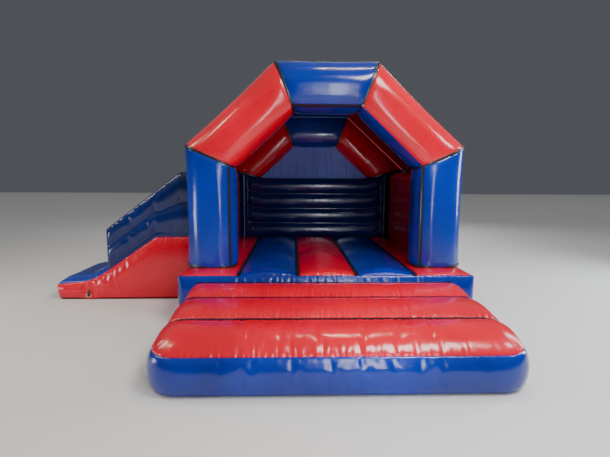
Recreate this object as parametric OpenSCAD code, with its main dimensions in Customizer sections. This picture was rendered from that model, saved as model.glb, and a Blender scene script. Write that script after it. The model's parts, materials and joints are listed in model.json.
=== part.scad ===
// Inflatable bounce house: a castle bed with an A-frame roof, a front step,
// a side slide, and the electric blower that keeps it up.
// The front faces -Y, +X is on the right seen from the front, and the ground is Z = 0.
// The origin is the middle of the castle base's underside. Millimetres.

/* [Castle base] */
// Width of the castle base, side to side
base_w = 3660; // [3600:10:3800]
// Depth of the castle base, front to back
base_d = 3660; // [3640:10:3800]
// Height of the base at its edges
base_h = 600; // [560:10:640]
// Number of long beams that make the bed
bed_beams = 5;
// Rise of each middle beam's top above its edges
bed_crown = 34; // [10:1:50]
// Thickness of the inflated wall panels round the base
panel_t = 60; // [40:1:80]

/* [Arches] */
// Depth of an arch tube seen from the front
tube_t = 590; // [560:5:620]
// Front arch, front to back
front_arch_d = 540; // [480:5:560]
// Distance from the base's front edge to the front arch
front_arch_set = 310; // [280:5:330]
// Outer corner of the front arch's eave above the ground
eave_z = 2205; // [2150:5:2250]
// Top of the front arch above the ground
roof_z = 3276; // [3200:5:3350]
// Half the width of the flat roof top
top_half_w = 669; // [620:1:720]
// How much lower the rear arch is than the front one
rear_drop = 225; // [200:5:250]
// Rear arch, front to back
rear_arch_d = 490; // [460:5:500]

/* [Walls] */
// Thickness of the side walls
side_wall_t = 375; // [340:5:400]
// Top of the side walls above the ground
side_wall_z = 1900; // [1850:5:1930]
// Top of the rear wall above the ground
rear_wall_z = 1775; // [1750:5:1790]
// Number of stacked tubes in the rear wall
rear_wall_tubes = 4;

/* [Step] */
// Width of the step over its side bulge
step_w = 3280; // [3200:10:3320]
// Length of the step in front of the base
step_l = 1730; // [1650:10:1800]
// Height of the blue skirt round the step
step_skirt_z = 340; // [320:5:360]
// Height of the step's top seams
step_seam_z = 472; // [440:2:500]

/* [Slide] */
// Width of the slide over its sides
slide_w = 1450; // [1400:10:1500]
// Distance from the castle's left side to the slide's end
slide_l = 2040; // [1950:10:2100]
// Height of the slide's platform
platform_z = 930; // [900:5:960]
// Length of the platform
platform_l = 600; // [560:10:640]
// Thickness of the slide's two-tube safety walls
slide_wall_t = 270; // [240:5:300]
// Height of the safety walls' top at the platform
slide_wall_z = 1885; // [1850:5:1895]

/* [Anchors and zip] */
// Wire radius of an anchor ring
ring_wire_r = 4; // [3.5:0.1:4.5]
// Bend radius of an anchor ring, to the middle of its wire
ring_r = 36; // [32:1:40]
// Length of the deflation zip
zip_l = 600; // [500:10:700]

/* [Blower] */
// Radius of the blower's scroll housing
scroll_r = 230; // [225:1:235]
// Width of the scroll housing
scroll_w = 260; // [250:2:280]
// Outer radius of the impeller
impeller_r = 150; // [140:1:160]
// Radius of the fabric inflation sleeve
sleeve_r = 124; // [120:1:126]
// Number of impeller blades
blade_count = 24; // [16:1:30]

/* [Hidden] */

$fn = 64;
red = [0.82, 0.06, 0.10];
blue = [0.08, 0.22, 0.62];
black = [0.05, 0.05, 0.06];
steel = [0.70, 0.71, 0.73];

sheet_t = 4;
// Wall left round each air chamber
skin = 20;
half_w = base_w / 2;
half_d = base_d / 2;
far = 10000;

// ---- base ----
beam_pitch = base_w / bed_beams;
web_t = 8;
seam_ledge = 16;
tape_t = 3;
web_hole_r = 110;

// ---- arches ----
front_arch_y = -half_d + front_arch_set;
front_arch_back = front_arch_y + front_arch_d;
rear_arch_y = half_d - rear_arch_d;
slope_a = atan2(roof_z - eave_z, half_w - top_half_w);
inner_half_w = half_w - tube_t;
inner_eave_z = eave_z - tube_t * tan((90 - slope_a) / 2);
inner_top_half_w = top_half_w - tube_t * tan(slope_a / 2);
inner_top_z = roof_z - tube_t;
corner_r = 120;
// The rear diagonals stand on the rear columns and the rear wall along this line.
rear_foot_in = [1080, 1800];
rear_foot_out_z = eave_z - rear_drop + 10;

// ---- walls ----
wall_x = half_w - side_wall_t;
wall_len = rear_arch_y - front_arch_back;
door_y0 = -520;
door_y1 = 370;

// ---- step ----
step_front_y = -half_d - step_l;
step_seams = [-half_d, -half_d - 540, -half_d - 1190];
step_chamfer = 240;
step_in = step_w / 2 - panel_t;
step_front_edge = step_front_y + panel_t;

// ---- slide ----
slide_y0 = -800;
slide_y1 = slide_y0 + slide_w;
slide_end_x = -half_w - slide_l;
slide_wall_end_x = -3160;
lane_crown = 40;
// Top line of the red sides, from the castle to the slide's end
slide_line = [
    [-half_w, platform_z], [-half_w - platform_l, platform_z - 5], [slide_wall_end_x, 420],
    [-3300, 330], [-3470, 265], [slide_end_x, 215]
];

// ---- anchors: wall point [x, y], direction out of the wall in degrees ----
ring_z = 78;
ring_out = 14;
ring_clear = 0.05;
loop_half_w = 18;
loop_r = 9;
anchors = [
    [-3420, slide_y0, -90], [-3420, slide_y1, 90], [-half_w, -1500, 180],
    [half_w, -1500, 0], [-1500, half_d, 90], [1500, half_d, 90]
];

// ---- zip ----
zip_z = 290;
chain_h = 8;
chain_t = 4;
zip_tape_t = 2;
slider_l = 26;
flap_gap = 16;
flap_h = 130;
flap_top_z = 352;

// ---- blower ----
blower_x = -3230;
blower_y = 1430;
base_plate_z = 15;
base_plate_t = 10;
blower_z = base_plate_z + base_plate_t + scroll_r;
shell_t = 4;
outlet_h = 204;
outlet_z = blower_z - scroll_r + outlet_h / 2;
outlet_end_x = blower_x + 330;
nozzle_r = 96;
nozzle_l = 130;
inlet_r = 108;
shaft_r = 6;
motor_r = 64;
motor_y0 = -160;
motor_y1 = -20;
grille_t = 6;
rocker_z = 40;
rocker_tilt = 8;

// ================= shared shapes =================

// Box between two corners
module box(a, b) translate(a) cube([b[0] - a[0], b[1] - a[1], b[2] - a[2]]);

// Air chamber: a box between two corners, hollow inside its skin
module chamber(a, b) difference() {
    box(a, b);
    box([a[0] + skin, a[1] + skin, a[2] + skin], [b[0] - skin, b[1] - skin, b[2] - skin]);
}

// Outline in X and Z, drawn from y0 to y1
module side_view(points, y0, y1)
    translate([0, y1, 0]) rotate([90, 0, 0]) linear_extrude(y1 - y0) polygon(points);

// Rounded rectangle from the origin
module rounded_rect(w, d, r) {
    translate([r, 0]) square([w - 2 * r, d]);
    translate([0, r]) square([w, d - 2 * r]);
    for (x = [r, w - r], y = [r, d - r]) translate([x, y]) circle(r);
}

// Points of a crown between x0 and x1, rising above height z
function crown(x0, x1, z, rise, n = 10) =
    [for (i = [0:n]) let (t = i / n) [x0 + (x1 - x0) * t, z + rise * 4 * t * (1 - t)]];

module mirrored(left) { if (left) mirror([1, 0, 0]) children(); else children(); }

// ================= castle base =================

module ground_sheets() color(black) {
    box([-half_w, -half_d, 0], [half_w, half_d, sheet_t]);
    linear_extrude(sheet_t) step_plan(step_w / 2, step_front_y);
    box([slide_end_x, slide_y0, 0], [-half_w, slide_y1, sheet_t]);
}

function beam_x0(i) = -half_w + beam_pitch * i + (i == 0 ? panel_t : web_t / 2);
function beam_x1(i) = -half_w + beam_pitch * (i + 1) - (i == bed_beams - 1 ? panel_t : web_t / 2);

// One long inflated beam of the bed; the outer two are flat, to carry the walls
module bed_beam(i) {
    x0 = beam_x0(i);
    x1 = beam_x1(i);
    front = -half_d + panel_t;
    middle = i > 0 && i < bed_beams - 1;
    color(i % 2 == 0 ? red : blue) {
        chamber([x0, front, sheet_t], [x1, half_d - panel_t, base_h]);
        if (middle) side_view(concat(
            [[x0 + seam_ledge, base_h - skin / 2]],
            crown(x0 + seam_ledge, x1 - seam_ledge, base_h, bed_crown),
            [[x1 - seam_ledge, base_h - skin / 2]]), front, rear_arch_y);
    }
}

// Fabric webs inside the bed that hold its seams down, with holes that let the air through
module bed_webs() color(blue)
    for (i = [1:bed_beams - 1]) translate([-half_w + beam_pitch * i - web_t / 2, 0, 0]) difference() {
        box([0, -half_d + panel_t, sheet_t], [web_t, half_d - panel_t, base_h]);
        for (y = [-1200, 0, 1200]) translate([-1, y, base_h / 2])
            rotate([0, 90, 0]) cylinder(r = web_hole_r, h = web_t + 2);
    }

// Black tapes sewn over the seams of the bed and of the step
module seam_tapes() color(black) {
    for (i = [1:bed_beams - 1]) {
        x = -half_w + beam_pitch * i;
        box([x - seam_ledge + 2, -half_d + panel_t, base_h],
            [x + seam_ledge - 2, rear_arch_y, base_h + tape_t]);
    }
    for (y = [step_seams[1], step_seams[2]])
        box([-step_in + 60, y - seam_ledge + 2, step_seam_z],
            [step_in - 60, y + seam_ledge - 2, step_seam_z + tape_t]);
}

module base_front_wall() color(blue)
    box([-half_w, -half_d, sheet_t], [half_w, -half_d + panel_t, base_h]);

module base_side_walls() color(blue) {
    box([-half_w, -half_d + panel_t, sheet_t], [-half_w + panel_t, half_d, base_h]);
    box([half_w - panel_t, -half_d + panel_t, sheet_t], [half_w, half_d, base_h]);
    box([-half_w + panel_t, half_d - panel_t, sheet_t], [half_w - panel_t, half_d, base_h]);
}

// ================= step =================

// Plan of the step, with its two front corners cut back
module step_plan(half, front, cut = step_chamfer) polygon([
    [-half, -half_d], [-half, front + cut], [-half + cut, front],
    [half - cut, front], [half, front + cut], [half, -half_d]
]);

// Everything inside the step's skirt and under its pillowed top
module step_envelope() intersection() {
    linear_extrude(base_h) step_plan(step_w / 2, step_front_y);
    side_view([
        [-step_in, sheet_t], [-step_in, step_skirt_z], [-step_w / 2, step_skirt_z],
        [-step_in + 40, step_seam_z], [-step_in + 220, base_h], [step_in - 220, base_h],
        [step_in - 40, step_seam_z], [step_w / 2, step_skirt_z], [step_in, step_skirt_z],
        [step_in, sheet_t]
    ], step_front_y, -half_d);
    union() {
        linear_extrude(step_skirt_z) step_plan(step_in, step_front_edge);
        translate([0, 0, step_skirt_z]) linear_extrude(base_h) step_plan(step_w / 2, step_front_y);
    }
}

// One cross beam of the step between y0 and y1, with top heights z0 and z1
module step_beam(y0, y1, z0, z1, rise, ledge0, ledge1) color(red) difference() {
    intersection() {
        step_envelope();
        rotate([90, 0, 90]) translate([0, 0, -step_w / 2]) linear_extrude(step_w) polygon(concat(
            [[y0, sheet_t], [y0, z0]],
            [for (i = [0:10]) let (t = i / 10)
                [y0 + ledge0 + (y1 - y0 - ledge0 - ledge1) * t,
                 z0 + (z1 - z0) * t + rise * 4 * t * (1 - t)]],
            [[y1, z1], [y1, sheet_t]]));
    }
    air_x = step_in - (z0 < z1 && y1 < step_seams[1] ? step_chamfer : 0) - skin;
    box([-air_x, max(y0, step_front_edge) + skin, sheet_t + skin],
        [air_x, y1 - skin, min(z0, z1) - skin]);
}

module step_beam_rear()
    step_beam(step_seams[1], step_seams[0], step_seam_z, step_seam_z + 24, 40, seam_ledge, 0);

module step_beam_middle()
    step_beam(step_seams[2], step_seams[1], step_seam_z, step_seam_z, 46, seam_ledge, seam_ledge);

module step_beam_front()
    step_beam(step_front_y, step_seams[2], step_skirt_z, step_seam_z, 62, 0, seam_ledge);

// Blue band round the step's front and two sides
module step_skirt() color(blue)
    translate([0, 0, sheet_t]) linear_extrude(step_skirt_z - sheet_t) difference() {
        step_plan(step_w / 2, step_front_y);
        step_plan(step_in, step_front_edge);
    }

// ================= arches =================

// Parts of an arch on the right, seen from the front
column_view = [
    [half_w, base_h], [half_w, eave_z], [inner_half_w, inner_eave_z], [inner_half_w, base_h]
];
diagonal_view = [
    [half_w, eave_z], [top_half_w, roof_z], [inner_top_half_w, inner_top_z],
    [inner_half_w, inner_eave_z]
];
top_view = [
    [-top_half_w, roof_z], [top_half_w, roof_z],
    [inner_top_half_w, inner_top_z], [-inner_top_half_w, inner_top_z]
];

// Section of an arch tube of depth d, or of the air inside it
module tube_section(d, inset = 0)
    translate([inset, inset]) rounded_rect(tube_t - 2 * inset, d - 2 * inset, corner_r - inset);

// Tube along the right-hand slope of an arch, from s0 to s1 along its outer edge
module sloping(y0, d, s0, s1, inset = 0)
    translate([half_w, y0, eave_z]) rotate([0, -(90 - slope_a), 0])
        translate([-tube_t, 0, s0]) linear_extrude(s1 - s0) tube_section(d, inset);

// Air inside a sloping tube, square at both ends
module sloping_air(y0, d) sloping(y0, d,
    tube_t * tan((90 - slope_a) / 2) + skin,
    (half_w - top_half_w) / cos(slope_a) - tube_t * tan(slope_a / 2) - skin, skin);

module front_column(left) mirrored(left) color(blue) difference() {
    intersection() {
        side_view(column_view, front_arch_y, front_arch_back);
        translate([inner_half_w, front_arch_y, base_h]) linear_extrude(roof_z)
            tube_section(front_arch_d);
    }
    translate([inner_half_w, front_arch_y, base_h + skin])
        linear_extrude(inner_eave_z - base_h - 2 * skin) tube_section(front_arch_d, skin);
}

module front_diagonal(left) mirrored(left) color(red) difference() {
    intersection() {
        side_view(diagonal_view, front_arch_y, front_arch_back);
        sloping(front_arch_y, front_arch_d, -far / 2, far / 2);
    }
    sloping_air(front_arch_y, front_arch_d);
}

// Level tube across an arch's top, or the air inside it
module level(y0, d, half, inset = 0)
    translate([-half, y0, roof_z]) rotate([0, 90, 0]) linear_extrude(2 * half)
        tube_section(d, inset);

module top_beam(y0, d) color(blue) difference() {
    intersection() {
        side_view(top_view, y0, y0 + d);
        level(y0, d, half_w);
    }
    level(y0, d, inner_top_half_w - skin, skin);
}

// Line that the rear diagonals stand on: height at x
function rear_foot_z(x) = rear_foot_in[1]
    + (x - rear_foot_in[0]) * (rear_foot_out_z - rear_foot_in[1]) / (half_w - rear_foot_in[0]);

module rear_column(left) mirrored(left) color(blue) difference() {
    side_view([
        [wall_x, base_h], [half_w, base_h], [half_w, rear_foot_z(half_w)], [wall_x, rear_foot_z(wall_x)]
    ], rear_arch_y, half_d);
    box([wall_x + skin, rear_arch_y + skin, base_h + skin],
        [half_w - skin, half_d - skin, rear_foot_z(wall_x) - skin]);
}

module rear_diagonal(left) mirrored(left) color(red) difference() {
    translate([0, 0, -rear_drop]) intersection() {
        side_view([
            [half_w, eave_z], [top_half_w, roof_z], [inner_top_half_w, inner_top_z],
            [inner_half_w - 600, inner_eave_z - 600], [half_w, inner_eave_z - 600]
        ], rear_arch_y, half_d);
        sloping(rear_arch_y, rear_arch_d, -far / 2, far / 2);
    }
    translate([0, 0, -rear_drop]) sloping_air(rear_arch_y, rear_arch_d);
    side_view([
        [0, 0], [0, rear_foot_z(0)], [base_w, rear_foot_z(base_w)], [base_w, 0]
    ], 0, far);
}

// ================= walls, roof and curtain =================

// Stacked tubes of the rear wall; its ends rise to the feet of the rear diagonals
module rear_wall() color(blue) {
    tube_h = (rear_wall_z - base_h) / rear_wall_tubes;
    bulge = 24;
    difference() {
        rotate([90, 0, 90]) translate([0, 0, -wall_x]) linear_extrude(2 * wall_x) polygon(concat(
            [[half_d, base_h], [half_d, rear_wall_z]],
            [for (k = [rear_wall_tubes - 1:-1:0], i = [0:8]) let (t = i / 8)
                [rear_arch_y + bulge - bulge * 4 * t * (1 - t), base_h + tube_h * (k + 1 - t)]]));
        box([-wall_x + skin, rear_arch_y + bulge + skin, base_h + skin],
            [wall_x - skin, half_d - skin, rear_wall_z - bulge - skin]);
    }
    for (left = [false, true]) mirrored(left) side_view([
        [rear_foot_in[0], rear_wall_z - bulge], [rear_foot_in[0], rear_foot_in[1]],
        [wall_x, rear_foot_z(wall_x)], [wall_x, rear_wall_z - bulge]
    ], rear_arch_y + bulge, half_d);
}

module side_wall_right() color(red)
    chamber([wall_x, front_arch_back, base_h], [half_w, rear_arch_y, side_wall_z]);

// Left wall, cut down to the platform's height where the slide begins
module side_wall_left() color(red) difference() {
    box([-half_w, front_arch_back, base_h], [-wall_x, rear_arch_y, side_wall_z]);
    box([-half_w - 1, door_y0, platform_z], [-wall_x + 1, door_y1, side_wall_z + 1]);
    for (y = [[front_arch_back, door_y0], [door_y1, rear_arch_y]])
        box([-half_w + skin, y[0] + skin, base_h + skin], [-wall_x - skin, y[1] - skin, side_wall_z - skin]);
}

// Rain cover over the cabin, from the front arch down to the rear one, with side flaps
module roof_cover() color(blue) {
    cover_t = 10;
    flap_z = 2060;
    end_gap = 2;
    pitch = atan2(rear_drop, wall_len);
    flap_x = half_w + cover_t + 2;
    eave_rise = (flap_x - half_w) * tan((90 - slope_a) / 2);
    half = [
        [flap_x, flap_z], [flap_x, eave_z + eave_rise - cover_t], [top_half_w, roof_z],
        [top_half_w - cover_t * tan(slope_a / 2), roof_z - cover_t],
        [flap_x - cover_t, eave_z + eave_rise - 2 * cover_t], [flap_x - cover_t, flap_z]
    ];
    intersection() {
        translate([0, front_arch_back, roof_z]) rotate([-pitch, 0, 0]) translate([0, 0, -roof_z])
            side_view(concat(
                [for (i = [0:2]) half[i]], [for (i = [2:-1:0]) [-half[i][0], half[i][1]]],
                [for (i = [5:-1:3]) [-half[i][0], half[i][1]]], [for (i = [3:5]) half[i]]),
                -wall_len, 2 * wall_len);
        box([-base_w, front_arch_back + end_gap, 0], [base_w, rear_arch_y - end_gap, 2 * roof_z]);
    }
}

// Pleated curtain that closes the rear arch above the wall
module rear_curtain() color(blue) {
    edge = 6;
    foot_z = rear_wall_z + 4;
    slope_x = (inner_half_w - inner_top_half_w) / (inner_top_z - inner_eave_z);
    top_z = inner_top_z - rear_drop - edge;
    top_x = inner_top_half_w - edge;
    foot_x = top_x + (top_z - foot_z) * slope_x;
    side_z = rear_foot_z(rear_foot_in[0]) + 2;
    side_x = top_x + (top_z - side_z) * slope_x;
    cut_x = min(side_x, foot_x, rear_foot_in[0] - edge);
    mid_y = rear_arch_y + rear_arch_d / 2;
    side_view([
        [-cut_x, foot_z], [-cut_x, side_z], [-top_x, top_z], [top_x, top_z],
        [cut_x, side_z], [cut_x, foot_z]
    ], mid_y - 6, mid_y + 6);
}

// ================= slide =================

// Side view under the slide's top line, raised by rise
module slide_profile(y0, y1, rise = 0)
    side_view(concat([[-half_w, sheet_t]], [for (p = slide_line) [p[0], p[1] + rise]],
                     [[slide_end_x, sheet_t]]), y0, y1);

// Blue platform, slope and run-out; its lane is crowned between the safety walls
module slide_bed() color(blue) difference() {
    union() {
        slide_profile(slide_y0 + panel_t, slide_y1 - panel_t);
        slide_profile(slide_y0 + slide_wall_t + 4, slide_y1 - slide_wall_t - 4, lane_crown);
    }
    side_view(concat(
        [[-half_w - skin, sheet_t + skin]],
        [for (p = slide_line) [min(max(p[0], slide_end_x + skin), -half_w - skin), p[1] - 1.5 * skin]],
        [[slide_end_x + skin, sheet_t + skin]]), slide_y0 + panel_t + skin, slide_y1 - panel_t - skin);
}

module slide_side_near() color(red) slide_profile(slide_y0, slide_y0 + panel_t);

module slide_side_far() color(red) slide_profile(slide_y1 - panel_t, slide_y1);

// Safety wall of two tubes that follows the platform and then the slope
module slide_wall(y0) color(blue) {
    kink_x = -2060;
    end_z = 1030;
    side_view([
        slide_line[0], slide_line[1], slide_line[2], [slide_wall_end_x, end_z],
        [kink_x, slide_wall_z - 15], [-half_w, slide_wall_z]
    ], y0, y0 + slide_wall_t);
}

// ================= anchors =================

module at_anchor(a) translate([a[0], a[1], 0]) rotate([0, 0, a[2]]) children();

// Sewn patch with a webbing loop that an anchor ring's straight bar turns in
module anchor_tab() difference() {
    union() {
        box([0, -60, 10], [3, 60, 140]);
        box([0, -loop_half_w, ring_z - 5], [ring_out, loop_half_w, ring_z + 5]);
        translate([ring_out, loop_half_w, ring_z]) rotate([90, 0, 0])
            cylinder(r = loop_r, h = 2 * loop_half_w);
    }
    translate([ring_out, loop_half_w + 1, ring_z]) rotate([90, 0, 0])
        cylinder(r = ring_wire_r + ring_clear, h = 2 * loop_half_w + 2);
}

module anchor_tabs() color(black) for (a = anchors) at_anchor(a) anchor_tab();

// Steel D ring that hangs from its straight bar
module anchor_ring(i) color(steel) at_anchor(anchors[i]) translate([ring_out, 0, ring_z]) {
    translate([0, ring_r, 0]) rotate([90, 0, 0]) cylinder(r = ring_wire_r, h = 2 * ring_r);
    rotate([0, 90, 0]) rotate([0, 0, -90]) rotate_extrude(angle = 180)
        translate([ring_r, 0]) circle(ring_wire_r);
    for (y = [-ring_r, ring_r]) translate([0, y, 0]) sphere(ring_wire_r);
}

// ================= deflation zip =================

module zip_tape() color(black) {
    box([-zip_l / 2, half_d, zip_z - 25], [zip_l / 2, half_d + zip_tape_t, zip_z + 25]);
    box([-zip_l / 2, half_d + zip_tape_t, zip_z - chain_h / 2],
        [zip_l / 2, half_d + zip_tape_t + chain_t, zip_z + chain_h / 2]);
    box([-zip_l / 2 - 40, half_d, flap_top_z + 2.5],
        [zip_l / 2 + 40, half_d + flap_gap, flap_top_z + 12]);
}

module zip_slider() color(steel) translate([-zip_l / 2 + 6, half_d + zip_tape_t, zip_z]) difference() {
    union() {
        box([0, 0.3, -11], [slider_l, 10, 11]);
        box([slider_l / 2 - 5, 8, -48], [slider_l / 2 + 5, 10, 0]);
    }
    box([-1, 0, -chain_h / 2 - 0.3], [slider_l + 1, chain_t + 0.3, chain_h / 2 + 0.3]);
}

module zip_flap() color(blue)
    box([-zip_l / 2 - 40, half_d + flap_gap, flap_top_z - flap_h],
        [zip_l / 2 + 40, half_d + flap_gap + 2, flap_top_z]);

// ================= inflation sleeve =================

module inflation_sleeve() color(blue) difference() {
    translate([outlet_end_x + 20, blower_y, outlet_z]) rotate([0, 90, 0])
        cylinder(r = sleeve_r, h = -half_w - outlet_end_x - 20);
    translate([outlet_end_x, blower_y, outlet_z]) rotate([0, 90, 0])
        cylinder(r = nozzle_r, h = nozzle_l);
}

// Webbing strap that holds the sleeve on the blower's nozzle, with its buckle
module sleeve_strap() color(black) translate([outlet_end_x + 60, blower_y, outlet_z]) {
    rotate([0, 90, 0]) difference() {
        cylinder(r = sleeve_r + 3, h = 40);
        translate([0, 0, -1]) cylinder(r = sleeve_r, h = 42);
    }
    box([-4, -28, sleeve_r + 1], [44, 28, sleeve_r + 12]);
}

// ================= blower =================

// Scroll outline in X and Z: a drum with a square outlet low on its +X side
module scroll_outline(inset) {
    circle(scroll_r - inset, $fn = 96);
    translate([0, -scroll_r + inset]) square([outlet_end_x - blower_x, outlet_h - 2 * inset]);
}

module scroll(inset, y0, y1)
    translate([blower_x, blower_y + y1, blower_z]) rotate([90, 0, 0])
        linear_extrude(y1 - y0) scroll_outline(inset);

// One moulded half of the scroll housing: side -1 is at -Y, side 1 at +Y
module blower_housing(side) color("gold") difference() {
    half = scroll_w / 2;
    scroll(0, side < 0 ? -half : 0, side < 0 ? 0 : half);
    scroll(shell_t, side < 0 ? -half + shell_t : -1, side < 0 ? 1 : half - shell_t);
    at_shaft(side < 0 ? -half - 1 : half - shell_t - 1) cylinder(r = inlet_r, h = shell_t + 2);
    box([outlet_end_x - shell_t - 1, blower_y - half + shell_t, outlet_z - outlet_h / 2 + shell_t],
        [outlet_end_x + 1, blower_y + half - shell_t, outlet_z + outlet_h / 2 - shell_t]);
}

// Outlet flange and round spout that the sleeve is pulled over
module blower_nozzle() color(black) translate([outlet_end_x, blower_y, outlet_z]) difference() {
    union() {
        box([0, -scroll_w / 2, -outlet_h / 2], [8, scroll_w / 2, outlet_h / 2]);
        rotate([0, 90, 0]) cylinder(r = nozzle_r, h = nozzle_l);
    }
    translate([-1, 0, 0]) rotate([0, 90, 0]) cylinder(r = nozzle_r - shell_t, h = nozzle_l + 2);
}

module at_shaft(y) translate([blower_x, blower_y + y, blower_z]) rotate([-90, 0, 0]) children();

// Squirrel-cage impeller on its hub
module blower_impeller() color("gray") difference() {
    union() {
        at_shaft(-60) difference() {
            cylinder(r = impeller_r, h = 6);
            translate([0, 0, -1]) cylinder(r = impeller_r - 32, h = 8);
        }
        at_shaft(70) cylinder(r = impeller_r, h = 4);
        at_shaft(-10) cylinder(r = 20, h = 82);
        at_shaft(-56) for (i = [0:blade_count - 1]) rotate([0, 0, i * 360 / blade_count])
            translate([impeller_r - 30, 0, 0]) rotate([0, 0, 35]) cube([30, 3, 128]);
    }
    at_shaft(-11) cylinder(r = shaft_r, h = 100);
}

module motor_shaft() color(steel) at_shaft(motor_y0 + 6) cylinder(r = shaft_r, h = 225);

// Sealed motor can with a running bore for the shaft at its front end
module motor_case() color("dimgray") difference() {
    at_shaft(motor_y0) cylinder(r = motor_r, h = motor_y1 - motor_y0);
    at_shaft(motor_y0 + 5) cylinder(r = shaft_r + ring_clear, h = motor_y1 - motor_y0);
}

// Round inlet grille, and the ring grille that carries the motor
module blower_grilles() color(black) {
    at_shaft(scroll_w / 2) difference() {
        cylinder(r = inlet_r + 14, h = grille_t);
        for (i = [0:7], r = [34, 66]) rotate([0, 0, i * 45 + 22.5]) translate([r, -9, -1])
            cube([24, 18, grille_t + 2]);
    }
    at_shaft(-scroll_w / 2 - grille_t) difference() {
        cylinder(r = inlet_r + 14, h = grille_t);
        translate([0, 0, -1]) cylinder(r = motor_r, h = grille_t + 2);
        for (i = [0:11]) rotate([0, 0, i * 30]) translate([motor_r + 8, -7, -1])
            cube([28, 14, grille_t + 2]);
    }
}

// Carry handle on top of the scroll
module blower_handle() color(black) translate([blower_x, blower_y, blower_z + scroll_r]) {
    difference() {
        for (x = [-78, 78]) translate([x, 0, -30]) cylinder(r = 11, h = 76);
        translate([0, 50, -scroll_r]) rotate([90, 0, 0]) cylinder(r = scroll_r, h = 100, $fn = 96);
    }
    translate([-90, 0, 46]) rotate([0, 90, 0]) cylinder(r = 13, h = 180);
}

module blower_base() color(black) difference() {
    box([blower_x - 170, blower_y - 150, base_plate_z],
        [blower_x + 250, blower_y + 150, blower_z - scroll_r + 40]);
    scroll(0, -scroll_w / 2, scroll_w / 2);
    box([blower_x - 171, blower_y - scroll_w / 2, blower_z - scroll_r],
        [blower_x + 251, blower_y + scroll_w / 2, blower_z]);
}

module blower_feet() color(black)
    for (x = [blower_x - 140, blower_x + 220], y = [blower_y - 115, blower_y + 115])
        translate([x, y, 0]) cylinder(r = 16, h = base_plate_z);

// Switch box on the scroll's side, with a pocket for the rocker and its pivot pins
module switch_box() color(black)
    translate([blower_x - 150, blower_y - scroll_w / 2 - 40, blower_z + 190]) difference() {
        cube([70, 40, 60]);
        box([20, -1, 12], [50, 24, 48]);
        translate([15, 14, 30]) rotate([0, 90, 0]) cylinder(r = 3 + ring_clear, h = 40);
    }

// Rocker that tips on its pivot pins between off and on
module switch_rocker() color(red)
    translate([blower_x - 150, blower_y - scroll_w / 2 - 40, blower_z + 190]) translate([0, 14, 30]) {
        rotate([rocker_tilt, 0, 0]) translate([21, 0, 0]) rotate([90, 0, 90]) linear_extrude(28)
            polygon([[-16, -15], [-13, 0], [-16, 15], [-3, 12], [5, 0], [-3, -12]]);
        translate([15.5, 0, 0]) rotate([0, 90, 0]) cylinder(r = 3, h = 39);
    }

// Empty cable gland under the switch box
module cable_gland() color(black)
    translate([blower_x - 115, blower_y - scroll_w / 2 - 20, blower_z + 190 - 30]) difference() {
        union() {
            cylinder(r = 11, h = 30);
            cylinder(r = 14, h = 12, $fn = 6);
        }
        translate([0, 0, -1]) cylinder(r = 4.5, h = 25);
    }

ground_sheets();
bed_beam(0);  // bed_beam_1
bed_beam(1);  // bed_beam_2
bed_beam(2);  // bed_beam_3
bed_beam(3);  // bed_beam_4
bed_beam(4);  // bed_beam_5
bed_webs();
seam_tapes();
base_front_wall();
base_side_walls();
step_beam_rear();
step_beam_middle();
step_beam_front();
step_skirt();
front_column(true);  // front_column_left
front_column(false);  // front_column_right
front_diagonal(true);  // front_diagonal_left
front_diagonal(false);  // front_diagonal_right
top_beam(front_arch_y, front_arch_d);  // front_top_beam
rear_column(true);  // rear_column_left
rear_column(false);  // rear_column_right
rear_diagonal(true);  // rear_diagonal_left
rear_diagonal(false);  // rear_diagonal_right
translate([0, 0, -rear_drop]) top_beam(rear_arch_y, rear_arch_d);  // rear_top_beam
rear_wall();
side_wall_left();
side_wall_right();
roof_cover();
rear_curtain();
slide_bed();
slide_side_near();
slide_side_far();
slide_wall(slide_y0);  // slide_wall_near
slide_wall(slide_y1 - slide_wall_t);  // slide_wall_far
anchor_tabs();
anchor_ring(0);  // anchor_ring_slide_near
anchor_ring(1);  // anchor_ring_slide_far
anchor_ring(2);  // anchor_ring_left_front
anchor_ring(3);  // anchor_ring_right_front
anchor_ring(4);  // anchor_ring_rear_left
anchor_ring(5);  // anchor_ring_rear_right
zip_tape();
zip_slider();
zip_flap();
inflation_sleeve();
sleeve_strap();
blower_housing(-1);  // blower_housing_left
blower_housing(1);  // blower_housing_right
blower_nozzle();
blower_impeller();
motor_case();
motor_shaft();
blower_grilles();
blower_handle();
blower_base();
blower_feet();
switch_box();
switch_rocker();
cable_gland();
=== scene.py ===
# Inflatable bounce house: a castle bed with an A-frame roof, a front step, a side slide
# and the blower that keeps it up. The front faces -Y and the ground is Z = 0.
import json
import math
import random

import bmesh
import bpy
import numpy as np
from mathutils import Matrix, Vector


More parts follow.
